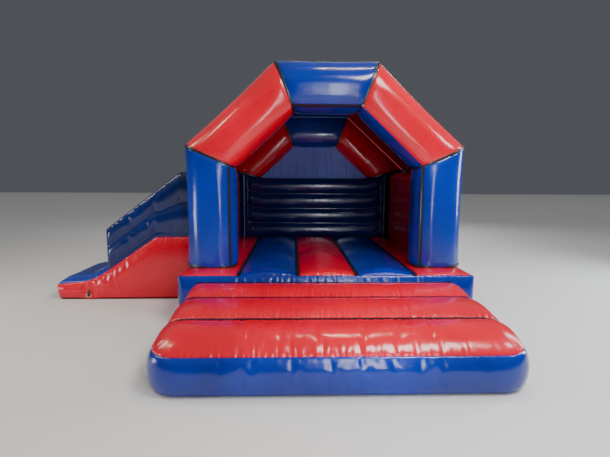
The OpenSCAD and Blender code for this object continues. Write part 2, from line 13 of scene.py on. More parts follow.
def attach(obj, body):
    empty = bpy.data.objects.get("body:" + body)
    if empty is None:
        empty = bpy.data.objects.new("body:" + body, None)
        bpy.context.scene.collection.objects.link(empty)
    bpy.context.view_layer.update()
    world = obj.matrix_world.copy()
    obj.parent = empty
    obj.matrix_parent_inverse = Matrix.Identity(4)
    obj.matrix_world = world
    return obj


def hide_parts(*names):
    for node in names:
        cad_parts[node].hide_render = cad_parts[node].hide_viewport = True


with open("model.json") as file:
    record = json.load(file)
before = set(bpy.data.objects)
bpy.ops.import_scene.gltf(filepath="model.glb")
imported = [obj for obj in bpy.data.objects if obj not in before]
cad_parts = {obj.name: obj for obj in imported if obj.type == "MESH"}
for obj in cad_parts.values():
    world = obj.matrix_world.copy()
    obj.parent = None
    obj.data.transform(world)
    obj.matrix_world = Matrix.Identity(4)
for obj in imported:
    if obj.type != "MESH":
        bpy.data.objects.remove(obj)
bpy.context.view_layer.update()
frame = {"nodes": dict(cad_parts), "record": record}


# ---- camera ----
# It stands a little left of the middle at eye height, 4.9 m in front of the castle base.

camera_right = Vector((0.99955, -0.02946, 0.00538))
camera_up = Vector((-0.00168, 0.12426, 0.99225))
camera_data = bpy.data.cameras.new("camera")
camera_data.lens = 23.94
camera_data.sensor_width = 36
camera = bpy.data.objects.new("camera", camera_data)
bpy.context.collection.objects.link(camera)
camera.matrix_world = Matrix.Translation((-0.4284, -6.6898, 1.7953)) @ Matrix(
    (camera_right, camera_up, camera_right.cross(camera_up))).transposed().to_4x4()
bpy.context.scene.camera = camera


# ---- floor and studio light ----
# A plain pale floor and a dim grey room. The key box hangs front right, tall strips stand by the
# camera and on the right, and smaller boxes on the left. A wide ceiling and a rear box fill in,
# and the small lamps put glints on the step.

bpy.ops.object.select_all(action="DESELECT")
bpy.ops.mesh.primitive_plane_add(size=80, location=(0, 0, -0.002))
floor = bpy.context.object
floor.name = "floor"
floor_paint = bpy.data.materials.new("floor_paint")
floor_paint.use_nodes = True
floor_paint.node_tree.nodes["Principled BSDF"].inputs["Base Color"].default_value = (0.80, 0.79, 0.77, 1)
floor_paint.node_tree.nodes["Principled BSDF"].inputs["Roughness"].default_value = 0.75
floor.data.materials.append(floor_paint)

room = bpy.data.worlds.new("room")
room.use_nodes = True
room.node_tree.nodes["Background"].inputs["Color"].default_value = (0.60, 0.64, 0.72, 1)
room.node_tree.nodes["Background"].inputs["Strength"].default_value = 0.14
bpy.context.scene.world = room


def soft_box(name, place, target, size, power, colour=(1, 1, 1)):
    """A rectangular lamp of the given width and height that looks at target."""
    lamp = bpy.data.lights.new(name, "AREA")
    lamp.shape = "RECTANGLE"
    lamp.size, lamp.size_y = size
    lamp.energy = power
    lamp.color = colour
    stand = bpy.data.objects.new(name, lamp)
    bpy.context.collection.objects.link(stand)
    stand.location = place
    stand.rotation_euler = (Vector(target) - Vector(place)).to_track_quat("-Z", "Y").to_euler()


soft_box("box_key", (2.3, -5.2, 6.0), (0.1, -1.7, 0.7), (2.4, 1.2), 250, (1.0, 0.98, 0.95))
soft_box("strip_tall", (0.75, -7.2, 2.5), (0, -1.8, 1.7), (0.46, 3.6), 110, (0.92, 0.95, 1.0))
soft_box("strip_right", (7.0, -0.6, 2.8), (1.0, -1.7, 1.4), (1.0, 4.2), 230, (0.80, 0.91, 1.0))
soft_box("box_left", (-6.8, -1.8, 5.2), (-1.0, -1.6, 1.6), (0.9, 2.2), 90, (1.0, 0.90, 0.72))
soft_box("box_low", (-6.5, -3.3, 0.9), (0.8, -1.4, 2.5), (1.3, 1.1), 60, (0.92, 0.95, 1.0))
soft_box("box_rear", (2.0, 8.5, 5.5), (0, 1.2, 1.2), (5.0, 3.0), 300)
soft_box("ceiling", (0, 0, 26.0), (0, 0.01, 0), (110.0, 110.0), 7500, (1.0, 0.98, 0.96))
soft_box("lamp_left", (-4.6, -3.4, 5.6), (-1.5, -3.0, 0.5), (0.5, 0.5), 34, (1.0, 0.86, 0.62))
soft_box("lamp_right", (5.2, -3.6, 4.6), (1.5, -3.0, 0.5), (0.8, 0.8), 60)
for k in range(5):
    lamp_x = 0.15 + 0.36 * k
    soft_box(f"ceiling_lamp_{k}", (lamp_x, -1.9, 6.0), (lamp_x, -3.3, 0.4), (0.12, 0.22), 11,
             (1.0, 0.88, 0.66))


# ---- castle bed ----
# Five long beams of coated fabric, red and blue in turn, blown up between inner webs.
# Their front ends are gathered into the seam with the base's front wall.

def pick(piece):
    """Makes a piece the only one selected, and the active one."""
    bpy.ops.object.select_all(action="DESELECT")
    piece.select_set(True)
    bpy.context.view_layer.objects.active = piece


def name_added(name):
    """Names the object just added and applies its placing."""
    piece = bpy.context.object
    piece.name = name
    piece.data.name = name
    bpy.ops.object.transform_apply(location=True, rotation=True, scale=True)
    return piece


def cut_block(name, cuts):
    """A closed unit cube from 0 to 1, cut into even strips along each axis."""
    bpy.ops.object.select_all(action="DESELECT")
    bpy.ops.mesh.primitive_cube_add(size=1, location=(0.5, 0.5, 0.5))
    block = name_added(name)
    bpy.ops.object.mode_set(mode="EDIT")
    bpy.ops.mesh.select_mode(type="EDGE")
    for axis, count in enumerate(cuts):
        for part in ([2, count // 2] if count > 90 else [count]):
            if part < 2:
                continue
            bpy.ops.mesh.select_all(action="DESELECT")
            edit = bmesh.from_edit_mesh(block.data)
            for edge in edit.edges:
                if abs(edge.verts[1].co[axis] - edge.verts[0].co[axis]) > 1e-6:
                    edge.select_set(True)
            bmesh.update_edit_mesh(block.data)
            bpy.ops.mesh.subdivide(number_cuts=part - 1)
    bpy.ops.object.mode_set(mode="OBJECT")
    return block


def points_of(piece):
    points = np.empty(3 * len(piece.data.vertices))
    piece.data.vertices.foreach_get("co", points)
    return points.reshape(-1, 3)


def move_points(piece, points):
    piece.data.vertices.foreach_set("co", np.ascontiguousarray(points, float).ravel())
    piece.data.update()


def face_outwards(piece):
    pick(piece)
    bpy.ops.object.mode_set(mode="EDIT")
    bpy.ops.mesh.select_all(action="SELECT")
    bpy.ops.mesh.normals_make_consistent(inside=False)
    bpy.ops.object.mode_set(mode="OBJECT")


def shape(piece, x, y, z):
    """Moves a piece's points and turns its faces outwards."""
    move_points(piece, np.column_stack([x, y, z]))
    face_outwards(piece)


def at_ends(t):
    """True on the two end planes of a unit block."""
    return (t == 0) | (t == 1)


def swell(distance, reach):
    """0 on a seam, rising like a quarter circle to 1 at reach from it."""
    t = np.clip(distance / reach, 0, 1)
    return np.sqrt(1 - (1 - t) ** 2)


def arc(t):
    """0 at both seams of a panel and 1 half way between them."""
    t = np.clip(t, 0, 1)
    return 4 * t * (1 - t)


def blow_up(pieces, slack=0.012, pressure=25.0, limit=0.03):
    """Fills pieces with air: the cloth between the held points swells and folds, up to limit."""
    for piece, held in pieces:
        group = piece.vertex_groups.new(name="held")
        group.add([int(i) for i in np.nonzero(held)[0]], 1.0, "REPLACE")
        air = piece.modifiers.new("air", "CLOTH")
        air.settings.vertex_group_mass = "held"
        air.settings.use_pressure = True
        air.settings.uniform_pressure_force = pressure
        air.settings.shrink_min = -slack
        air.settings.effector_weights.gravity = 0
        air.settings.mass = 0.3
        air.settings.quality = 5
        air.settings.tension_stiffness = air.settings.compression_stiffness = 25
        air.settings.shear_stiffness = 8
        air.settings.bending_stiffness = 8
        air.settings.tension_damping = air.settings.compression_damping = 5
        air.collision_settings.use_collision = False
        air.point_cache.frame_start = 1
        air.point_cache.frame_end = 16
    for tick in range(1, 17):
        bpy.context.scene.frame_set(tick)
    for piece, _ in pieces:
        before = points_of(piece)
        pick(piece)
        bpy.ops.object.modifier_apply(modifier="air")
        moved = points_of(piece) - before
        far = np.linalg.norm(moved, axis=1, keepdims=True)
        move_points(piece, before + moved * np.minimum(1, limit / np.maximum(far, 1e-9)))
        piece.vertex_groups.clear()
    bpy.context.scene.frame_set(1)


def smooth_skin(piece, levels=1):
    """Subdivides a soft piece, applied, and shades it smooth."""
    pick(piece)
    finer = piece.modifiers.new("finer", "SUBSURF")
    finer.levels = finer.render_levels = levels
    bpy.ops.object.modifier_apply(modifier="finer")
    bpy.ops.object.shade_smooth()


def gather(piece, seam, depth, reach, pitch=0.05, seed=1):
    """Short folds that run away from a seam, as where a full panel is sewn to a shorter edge."""
    dice = random.Random(seed)
    points = points_of(piece)
    normals = np.empty(points.size)
    piece.data.vertices.foreach_get("normal", normals)
    normals = normals.reshape(-1, 3)
    seam = np.asarray(seam, float)
    legs = np.diff(seam, axis=0)
    spans = np.linalg.norm(legs, axis=1)
    starts = np.concatenate([[0], np.cumsum(spans)])
    near = np.full(len(points), 1e9)
    along = np.zeros(len(points))
    for leg, span, start, corner in zip(legs, spans, starts, seam):
        t = np.clip((points - corner) @ leg / span ** 2, 0, 1)
        gap = np.linalg.norm(points - corner - t[:, None] * leg, axis=1)
        closer = gap < near
        near[closer] = gap[closer]
        along[closer] = start + t[closer] * span
    close = np.nonzero(near < reach)[0]
    near, along = near[close], along[close]
    lift = np.zeros(len(close))
    at = 0.3 * pitch
    while at < starts[-1]:
        long = reach * dice.uniform(0.3, 1.0)
        wide = pitch * dice.uniform(0.20, 0.38)
        lean = dice.uniform(-0.12, 0.12)
        size = depth * dice.uniform(0.35, 1.0) * (long / reach) ** 0.5
        fade = np.clip(1 - near / long, 0, 1) ** 1.3 * np.clip(near / 0.012, 0, 1)
        side = (along - at - lean * near) / (wide * (1 + near / reach))
        lift += size * fade * (np.exp(-side ** 2) - 0.55 * np.exp(-(side - 1.3) ** 2))
        at += pitch * dice.uniform(0.65, 1.5)
    points[close] += normals[close] * lift[:, None]
    move_points(piece, points)


def blend_tones(nodes, links, coords, scale, detail, low, high, tones):
    """A cloudy pattern on the piece's own coordinates, from low to high, between two tones."""
    noise = nodes.new("ShaderNodeTexNoise")
    noise.inputs["Scale"].default_value = scale
    noise.inputs["Detail"].default_value = detail
    links.new(coords.outputs["Object"], noise.inputs["Vector"])
    ramp = nodes.new("ShaderNodeValToRGB")
    ramp.color_ramp.elements[0].position = low
    ramp.color_ramp.elements[1].position = high
    ramp.color_ramp.elements[0].color = (*tones[0], 1)
    ramp.color_ramp.elements[1].color = (*tones[1], 1)
    links.new(noise.outputs["Fac"], ramp.inputs["Fac"])
    return ramp


def add_bump(nodes, links, height, strength, distance):
    """A bump from a texture's output, with its depth in metres."""
    bump = nodes.new("ShaderNodeBump")
    bump.inputs["Strength"].default_value = strength
    bump.inputs["Distance"].default_value = distance
    links.new(height, bump.inputs["Height"])
    return bump


def coated_fabric(name, deep, bright, gloss=0.17, creases=1.0, coat=0.25):
    """Glossy coated fabric: two close tones, scuffed gloss, a fine woven grain and soft creases."""
    paint = bpy.data.materials.new(name)
    paint.use_nodes = True
    nodes, links = paint.node_tree.nodes, paint.node_tree.links
    shader = nodes["Principled BSDF"]
    coords = nodes.new("ShaderNodeTexCoord")
    tone = blend_tones(nodes, links, coords, 1.1, 3, 0.36, 0.68, (deep, bright))
    links.new(tone.outputs["Color"], shader.inputs["Base Color"])
    rub = blend_tones(nodes, links, coords, 2.4, 4, 0.40, 0.85, ((gloss,) * 3, (gloss + 0.10,) * 3))
    links.new(rub.outputs["Color"], shader.inputs["Roughness"])
    shader.inputs["Specular IOR Level"].default_value = 0.5
    shader.inputs["Coat Weight"].default_value = coat
    shader.inputs["Coat Roughness"].default_value = 0.07
    crease = nodes.new("ShaderNodeTexNoise")
    crease.inputs["Scale"].default_value = 5.0
    crease.inputs["Detail"].default_value = 2.5
    crease.inputs["Distortion"].default_value = 0.7
    links.new(coords.outputs["Object"], crease.inputs["Vector"])
    soft_bump = add_bump(nodes, links, crease.outputs["Fac"], 0.16 * creases, 0.012)
    weave = nodes.new("ShaderNodeTexWave")
    weave.inputs["Scale"].default_value = 160
    weave.inputs["Distortion"].default_value = 0.4
    links.new(coords.outputs["Object"], weave.inputs["Vector"])
    fine_bump = add_bump(nodes, links, weave.outputs["Color"], 0.06, 0.001)
    links.new(soft_bump.outputs["Normal"], fine_bump.inputs["Normal"])
    links.new(fine_bump.outputs["Normal"], shader.inputs["Normal"])
    return paint


red_fabric = coated_fabric("red_fabric", (0.62, 0.0, 0.016), (0.82, 0.0, 0.026))
blue_fabric = coated_fabric("blue_fabric", (0.0, 0.016, 0.22), (0.0, 0.030, 0.42))
black_tape = coated_fabric("black_tape", (0.006, 0.006, 0.008), (0.014, 0.014, 0.017), gloss=0.38,
                           creases=0.4)


def fit(piece, paints, *nodes, soft=1.0):
    """Gives a finished piece its materials and its place in the castle."""
    for paint in paints:
        piece.data.materials.append(paint)
    if nodes:
        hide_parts(*nodes)
    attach(piece, "castle")


def ribbon(name, line, facing, width, thick=0.004, closed=False):
    """A sewn tape along a line of points, flat across the facing directions there."""
    line = np.asarray(line, float)
    facing = np.asarray(facing, float)
    facing = np.broadcast_to(facing, line.shape)
    count = len(line) - 1
    tape = cut_block(name, (count, 4, 1))
    unit = points_of(tape)
    row = np.rint(unit[:, 0] * count).astype(int)
    if closed:
        ahead = np.roll(line[:-1], -1, axis=0) - np.roll(line[:-1], 1, axis=0)
        ahead = np.vstack([ahead, ahead[:1]])
    else:
        ahead = np.gradient(line, axis=0)
    ahead /= np.linalg.norm(ahead, axis=1, keepdims=True)
    up = facing / np.linalg.norm(facing, axis=1, keepdims=True)
    across = np.cross(up, ahead)
    across /= np.linalg.norm(across, axis=1, keepdims=True)
    out = np.cross(ahead, across)
    side = unit[:, 1] - 0.5
    rise = thick * (unit[:, 2] - 0.5) * 2 - 4 * 0.35 * thick * side ** 2
    move_points(tape, line[row] + across[row] * (side * width)[:, None] + out[row] * rise[:, None])
    if closed:
        bpy.ops.object.mode_set(mode="EDIT")
        bpy.ops.mesh.select_all(action="SELECT")
        bpy.ops.mesh.remove_doubles(threshold=0.0005)
        bpy.ops.object.mode_set(mode="OBJECT")
    face_outwards(tape)
    bpy.ops.object.shade_smooth_by_angle(angle=math.radians(50))
    return tape


BEAM_PITCH = 0.732
BED_SEAM_Z = 0.592
BED_FRONT_Y = -1.812
BED_EDGE_X = 1.826
WALL_FRONT_Y = 1.35
BED_REAR_Y = 1.77
BED_CROWN = 0.055
UNDERSIDE_Z = 0.012


def bed_lift(y):
    """How far the bed's seams have risen behind the front edge."""
    return 0.012 * swell(y - BED_FRONT_Y, 0.16)


def beam_seams(beam, gap=0.0):
    """x of a bed beam's two long seams, drawn in by a gap from its neighbours."""
    left = max(-BED_EDGE_X, (beam - 2.5) * BEAM_PITCH + gap)
    right = min(BED_EDGE_X, (beam - 1.5) * BEAM_PITCH - gap)
    return left, right


bed_beams = []
for beam in range(5):
    left, right = beam_seams(beam, 0.004)
    piece = cut_block(f"bed_panel_{beam + 1}", (24, 112, 3))
    unit = points_of(piece)
    x = left + (right - left) * unit[:, 0]
    y = BED_FRONT_Y + (BED_REAR_Y - BED_FRONT_Y) * unit[:, 1]
    crown = BED_CROWN if 0 < beam < 4 else 0.5 * BED_CROWN
    crown = crown * swell(WALL_FRONT_Y - y, 0.3)
    top = BED_SEAM_Z + bed_lift(y) + crown * arc(unit[:, 0]) * swell(y - BED_FRONT_Y, 0.22)
    edge = swell(BED_EDGE_X - np.abs(x), 0.05)
    top = np.where(np.abs(x) > 1.7, BED_SEAM_Z + (top - BED_SEAM_Z) * edge, top)
    inset = 0.045 * np.clip(1.6 * (1 - unit[:, 2]), 0, 1)
    x = np.clip(x, -BED_EDGE_X + inset, BED_EDGE_X - inset)
    y = np.maximum(y, BED_FRONT_Y + inset)
    shape(piece, x, y, UNDERSIDE_Z + (top - UNDERSIDE_Z) * unit[:, 2])
    free = (unit[:, 2] == 1) & ~at_ends(unit[:, 0]) & (unit[:, 1] > 0) & (unit[:, 1] < 0.85)
    bed_beams.append((piece, ~free))
blow_up(bed_beams, slack=0.010, pressure=12.0, limit=0.02)
for beam, (piece, _) in enumerate(bed_beams):
    smooth_skin(piece)
    left, right = beam_seams(beam)
    front_seam = [(left, BED_FRONT_Y, BED_SEAM_Z), (right, BED_FRONT_Y, BED_SEAM_Z)]
    gather(piece, front_seam, 0.007, 0.24, seed=10 + beam)
    for x in (left, right):
        gather(piece, [(x, BED_FRONT_Y, 0.6), (x, WALL_FRONT_Y, 0.6)], 0.0022, 0.14, 0.11, seed=20 + beam)
    fit(piece, [red_fabric if beam % 2 == 0 else blue_fabric], f"bed_beam_{beam + 1}")

for seam in range(4):
    x = (seam - 1.5) * BEAM_PITCH
    y = np.linspace(BED_FRONT_Y - 0.004, WALL_FRONT_Y, 90)
    line = np.column_stack([np.full(90, x), y, BED_SEAM_Z + bed_lift(y) + 0.004])
    fit(ribbon(f"bed_tape_{seam + 1}", line, (0, 0, 1), 0.050), [black_tape], "seam_tapes", soft=None)


# ---- base walls ----
# Blue panels that close the base between the bed and the ground, all round.
# They are fuller than their seams, so their top edges pucker.

def rounded_path(corners, radius, spacing=0.02):
    """Evenly spaced plan points through corners, each turned with the given radius."""
    corners = [np.array(c, float) for c in corners]
    points = [corners[0]]
    for before, corner, after in zip(corners, corners[1:], corners[2:]):
        back = (before - corner) / np.linalg.norm(before - corner)
        ahead = (after - corner) / np.linalg.norm(after - corner)
        centre = corner + (back + ahead) * radius
        for angle in np.linspace(0, math.pi / 2, 14):
            points.append(centre - ahead * radius * math.cos(angle) - back * radius * math.sin(angle))
    points.append(corners[-1])
    points = np.array(points)
    walked = np.concatenate([[0], np.cumsum(np.linalg.norm(np.diff(points, axis=0), axis=1))])
    even = np.linspace(0, walked[-1], int(walked[-1] / spacing))
    return np.column_stack([np.interp(even, walked, points[:, k]) for k in (0, 1)])


ANCHORS = [("slide_near", -3.42, -0.80, -90), ("slide_far", -3.42, 0.65, 90),
           ("left_front", -1.83, -1.50, 180), ("right_front", 1.83, -1.50, 0),
           ("rear_left", -1.50, 1.83, 90), ("rear_right", 1.50, 1.83, 90)]
ZIP_HALF, ZIP_LOW, ZIP_HIGH = 0.36, 0.20, 0.375
FITTING_RELIEF = 0.007


def clear_of_fittings(x, y, z):
    """0 where an anchor patch or the zip is sewn on, growing to 1 a hand's width away."""
    off_zip = np.maximum(np.abs(x) - ZIP_HALF, np.maximum(ZIP_LOW - z, z - ZIP_HIGH))
    room = np.where(y > 1.7, off_zip, 1.0)
    for _, at_x, at_y, _ in ANCHORS:
        room = np.minimum(room, np.maximum(np.hypot(x - at_x, y - at_y) - 0.070, z - 0.170))
    return swell(room, 0.12)


def wall_along(name, path, bottom, top, bulge, thick, cuts_up):
    """An inflated band that stands along a plan path, its outside on the path's right hand."""
    count = len(path) - 1
    cuts_along = count if count % 2 == 0 or count <= 90 else count - 1
    band = cut_block(name, (cuts_along, 3, cuts_up))
    unit = points_of(band)
    spot = unit[:, 0] * count
    x, y = (np.interp(spot, range(count + 1), path[:, k]) for k in (0, 1))
    heading = np.gradient(path, axis=0)
    heading /= np.linalg.norm(heading, axis=1, keepdims=True)
    out_x = np.interp(spot, range(count + 1), heading[:, 1])
    out_y = np.interp(spot, range(count + 1), -heading[:, 0])
    ends = swell(np.minimum(unit[:, 0], 1 - unit[:, 0]), 0.02)
    z = bottom + (top - bottom) * unit[:, 2]
    clear = clear_of_fittings(x, y, z)
    full = bulge * arc(unit[:, 2]) ** 0.75 * ends * clear + FITTING_RELIEF * (1 - clear)
    full = full * (1 - unit[:, 1]) - thick * unit[:, 1]
    shape(band, x + out_x * full, y + out_y * full, z)
    held = (clear < 0.3) | (unit[:, 1] > 0) | at_ends(unit[:, 2]) | at_ends(unit[:, 0])
    return band, held


WALL_SEAM = 1.818
front_path = rounded_path([(-WALL_SEAM - 0.012, -WALL_SEAM), (0, -WALL_SEAM),
                           (WALL_SEAM + 0.012, -WALL_SEAM)], 0.0, 0.025)
round_path = rounded_path([(WALL_SEAM, -WALL_SEAM + 0.01), (WALL_SEAM, WALL_SEAM), (-WALL_SEAM, WALL_SEAM),
                           (-WALL_SEAM, -WALL_SEAM + 0.01)], 0.07, 0.03)
base_front = wall_along("base_front_panel", front_path, UNDERSIDE_Z, BED_SEAM_Z + 0.004, 0.040, 0.035, 18)
base_round = wall_along("base_wall_panels", round_path, UNDERSIDE_Z, BED_SEAM_Z + 0.004, 0.040, 0.030, 18)
blow_up([base_front, base_round], slack=0.012, pressure=10.0, limit=0.014)
for piece, path, node, seed in ((base_front[0], front_path, "base_front_wall", 31),
                                (base_round[0], round_path, "base_side_walls", 32)):
    smooth_skin(piece)
    top_seam = np.column_stack([path, np.full(len(path), BED_SEAM_Z)])[::6]
    gather(piece, top_seam, 0.0075, 0.13, 0.042, seed=seed)
    fit(piece, [blue_fabric], node)


# ---- front step ----
# Three cross beams with gathered seams, and a blue skirt that runs round the front corners.
# Children climb over it into the castle.

STEP_EDGE = 1.628
STEP_X = -0.02
STEP_TURN = 0.27
STEP_FRONT_Y, STEP_REAR_Y = -3.54, -1.832
STEP_RIM_Z = 0.336
STEP_SEAMS = [(-1.826, 0.500), (-2.37, 0.474), (-3.02, 0.472)]


def step_reach(part):
    """x across the step and how far its rounded corner draws the front edge back, part -1 to 1."""
    half = STEP_EDGE - STEP_TURN + STEP_TURN * math.pi / 2
    way = np.abs(part) * half
    turn = np.clip((way - (STEP_EDGE - STEP_TURN)) / STEP_TURN, 0, math.pi / 2)
    x = np.minimum(way, STEP_EDGE - STEP_TURN) + STEP_TURN * np.sin(turn)
    return np.sign(part) * x, STEP_TURN * (1 - np.cos(turn))


def step_end(x, y):
    """Fall of the step's top to its rim at both ends, longer towards the front."""
    return swell(STEP_EDGE - np.abs(x), 0.08 + 0.18 * np.clip((-1.9 - y) / 1.3, 0, 1))


def step_beam(name, front, back, crown, cuts):
    """One beam between two (y, z) seams; front None is the rim with its rounded corners."""
    piece = cut_block(name, cuts)
    unit = points_of(piece)
    x, drawn = step_reach(2 * unit[:, 0] - 1)
    t = unit[:, 1]
    if front is None:
        y0, z0 = STEP_FRONT_Y + drawn, STEP_RIM_Z
    else:
        y0, z0 = front
    y = y0 + (back[0] - y0) * t
    z = z0 + (back[1] - z0) * t + crown * arc(t)
    top = STEP_RIM_Z + (z - STEP_RIM_Z) * step_end(x, y)
    low = 1 - unit[:, 2]
    x = x * (1 - 0.03 * low)
    if front is None:
        y = y + 0.05 * low * (1 - t)
    shape(piece, x + STEP_X, y, 0.014 + (top - 0.014) * unit[:, 2])
    free = (unit[:, 2] == 1) & ~at_ends(unit[:, 0]) & ~at_ends(t)
    return piece, ~free


step_parts = [
    step_beam("step_panel_rear", STEP_SEAMS[1], STEP_SEAMS[0], 0.050, (118, 16, 2)),
    step_beam("step_panel_middle", STEP_SEAMS[2], STEP_SEAMS[1], 0.058, (118, 19, 2)),
    step_beam("step_panel_front", None, STEP_SEAMS[2], 0.082, (118, 19, 2)),
]
skirt_path = rounded_path([(STEP_X - STEP_EDGE, STEP_REAR_Y), (STEP_X - STEP_EDGE, STEP_FRONT_Y),
                           (STEP_X + STEP_EDGE, STEP_FRONT_Y), (STEP_X + STEP_EDGE, STEP_REAR_Y)],
                          STEP_TURN, 0.026)
step_skirt = wall_along("step_skirt_panel", skirt_path, 0.010, STEP_RIM_Z + 0.004, 0.042, 0.04, 12)
blow_up(step_parts, slack=0.012, pressure=14.0, limit=0.025)
blow_up([step_skirt], slack=0.010, pressure=10.0, limit=0.014)


def step_line(y, z, rise=0.0, inner=0.99):
    """Points along a cross seam of the step, from end to end."""
    x, _ = step_reach(np.linspace(-inner, inner, 120))
    height = STEP_RIM_Z + (z - STEP_RIM_Z) * step_end(x, y)
    return np.column_stack([x + STEP_X, np.full(120, y), height + rise])


rim = np.column_stack([skirt_path, np.full(len(skirt_path), STEP_RIM_Z)])[::3]
for index, (piece, _) in enumerate(step_parts):
    smooth_skin(piece, 2)
    back_seam = step_line(*STEP_SEAMS[index])[::4]
    gather(piece, back_seam, 0.008, 0.20, 0.055, seed=40 + index)
    if index < 2:
        front_seam = step_line(*STEP_SEAMS[index + 1])[::4]
        gather(piece, front_seam, 0.015, 0.32, 0.046, seed=50 + index)
    else:
        gather(piece, rim, 0.007, 0.20, 0.050, seed=52)
    fit(piece, [red_fabric], ("step_beam_rear", "step_beam_middle", "step_beam_front")[index])
smooth_skin(step_skirt[0])
gather(step_skirt[0], rim, 0.004, 0.10, 0.060, seed=55)
fit(step_skirt[0], [blue_fabric], "step_skirt")
for index, (y, z) in enumerate(STEP_SEAMS):
    rise = (0.026, 0.020, 0.010)[index]
    width = (0.070, 0.036, 0.036)[index]
    fit(ribbon(f"step_tape_{index + 1}", step_line(y, z, rise), (0, 0, 1), width), [black_tape], soft=None)


# ---- front arch ----
# Big tubes of coated fabric: two columns, two slopes and a level top, mitred at the joints
# and taped black there. Air keeps their sections nearly round on the outside.

INNER_X, OUTER_X = 1.185, 1.838
INNER_EAVE_Z, EAVE_Z = 1.923, 2.207
INNER_TOP_X, TOP_X = 0.418, 0.669
INNER_TOP_Z, ROOF_Z = 2.636, 3.276
FOOT_Z = 0.606


def tube_section(a, b, outside=2.05, inside=3.6):
    """Section of a tube, -1 to 1 each way, from a unit square; a runs from inside to outside."""
    u, v = 2 * a - 1, 2 * b - 1
    size = np.maximum(np.abs(u), np.abs(v))
    safe = np.maximum(size, 1e-9)
    flat = np.abs(u) >= np.abs(v)
    angle = np.where(flat, math.pi / 4 * v / safe, np.sign(v) * (math.pi / 2 - math.pi / 4 * u / safe))
    angle = np.where(flat & (u < 0), math.pi - angle, angle)
    power = np.where(np.cos(angle) > 0, outside, inside)
    reach = (np.abs(np.cos(angle)) ** power + np.abs(np.sin(angle)) ** power) ** (-1 / power)
    return size * reach * np.cos(angle), size * reach * np.sin(angle)


def tube_points(unit, corners, y_front, y_back, pinch=0.03):
    """Places a unit block between two mitres; corners are inner and outer (x, z), start then end."""
    inner0, outer0, inner1, outer1 = (np.array(c, float) for c in corners)
    long = 0.5 * np.linalg.norm(inner1 - inner0) + 0.5 * np.linalg.norm(outer1 - outer0)
    p, q = tube_section(unit[:, 0], unit[:, 1])
    c = unit[:, 2]
    tight = 1 - pinch * (1 - swell(np.minimum(c, 1 - c) * long, 0.14))
    p, q = p * tight, q * tight
    w = ((1 + p) / 2)[:, None]
    plan = (inner0 + (outer0 - inner0) * w) * (1 - c)[:, None] + (inner1 + (outer1 - inner1) * w) * c[:, None]
    middle, half = (y_front + y_back) / 2, (y_back - y_front) / 2
    return np.column_stack([plan[:, 0], middle + half * q, plan[:, 1]])


def arch_tube(name, corners, y_front, y_back, cuts, inside_paint=False):
    """A mitred tube; its underside can take the second material."""
    piece = cut_block(name, cuts)
    unit = points_of(piece)
    if inside_paint:
        for face in piece.data.polygons:
            face.material_index = 1 if face.center.x < 1e-6 else 0
    move_points(piece, tube_points(unit, corners, y_front, y_back))
    face_outwards(piece)
    a, b, c = unit.T
    return piece, at_ends(c) | ((a == 0) & at_ends(b))


def tube_ring(corners, y_front, y_back, grow=1.008, start=0.0):
    """Points and facing directions round the mitre at a tube's start, or a little after it."""
    side = np.linspace(0, 1, 25)[:-1]
    square = np.vstack([np.column_stack([side, 0 * side]), np.column_stack([0 * side + 1, side]),
                        np.column_stack([1 - side, 0 * side + 1]), np.column_stack([0 * side, 1 - side])])
    square = np.vstack([square, square[:1]])
    unit = np.column_stack([square, np.full(len(square), start)])
    line = tube_points(unit, corners, y_front, y_back)
    middle = line[:-1].mean(axis=0)
    return middle + (line - middle) * grow, line - middle


def mirror_x(corners, side):
    return [(side * x, z) for x, z in corners]


def raise_tubes(tubes):
    """Blows up and finishes an arch, a list of (piece, held points, materials, node)."""
    blow_up([(piece, held) for piece, held, _, _ in tubes], slack=0.004, pressure=10.0, limit=0.015)
    for piece, _, paints, node in tubes:
        smooth_skin(piece)
        fit(piece, paints, node)


def tape_ring(name, corners, y_front, y_back, width, start=0.0):
    """A black tape round a tube's mitre, or a little after it."""
    line, facing = tube_ring(corners, y_front, y_back, start=start)
    fit(ribbon(name, line, facing, width, 0.005, closed=True), [black_tape], soft=None)


FRONT_Y, FRONT_BACK_Y = -1.525, -0.98
column_corners = [(INNER_X, FOOT_Z), (OUTER_X, FOOT_Z), (INNER_X, INNER_EAVE_Z), (OUTER_X, EAVE_Z)]
slope_corners = [(INNER_X, INNER_EAVE_Z), (OUTER_X, EAVE_Z), (INNER_TOP_X, INNER_TOP_Z), (TOP_X, ROOF_Z)]
level_corners = [(INNER_TOP_X, INNER_TOP_Z), (TOP_X, ROOF_Z), (-INNER_TOP_X, INNER_TOP_Z), (-TOP_X, ROOF_Z)]
front_tubes = []
for side, word in ((-1, "left"), (1, "right")):
    front_tubes.append((*arch_tube(f"front_column_tube_{word}", mirror_x(column_corners, side), FRONT_Y,
                                   FRONT_BACK_Y, (20, 20, 48)), [blue_fabric], f"front_column_{word}"))
    paints = [red_fabric, blue_fabric if side > 0 else red_fabric]
    front_tubes.append((*arch_tube(f"front_slope_tube_{word}", mirror_x(slope_corners, side), FRONT_Y,
                                   FRONT_BACK_Y, (18, 18, 42), True), paints, f"front_diagonal_{word}"))
front_tubes.append((*arch_tube("front_level_tube", level_corners, FRONT_Y, FRONT_BACK_Y, (18, 18, 36)),
                    [blue_fabric], "front_top_beam"))
raise_tubes(front_tubes)

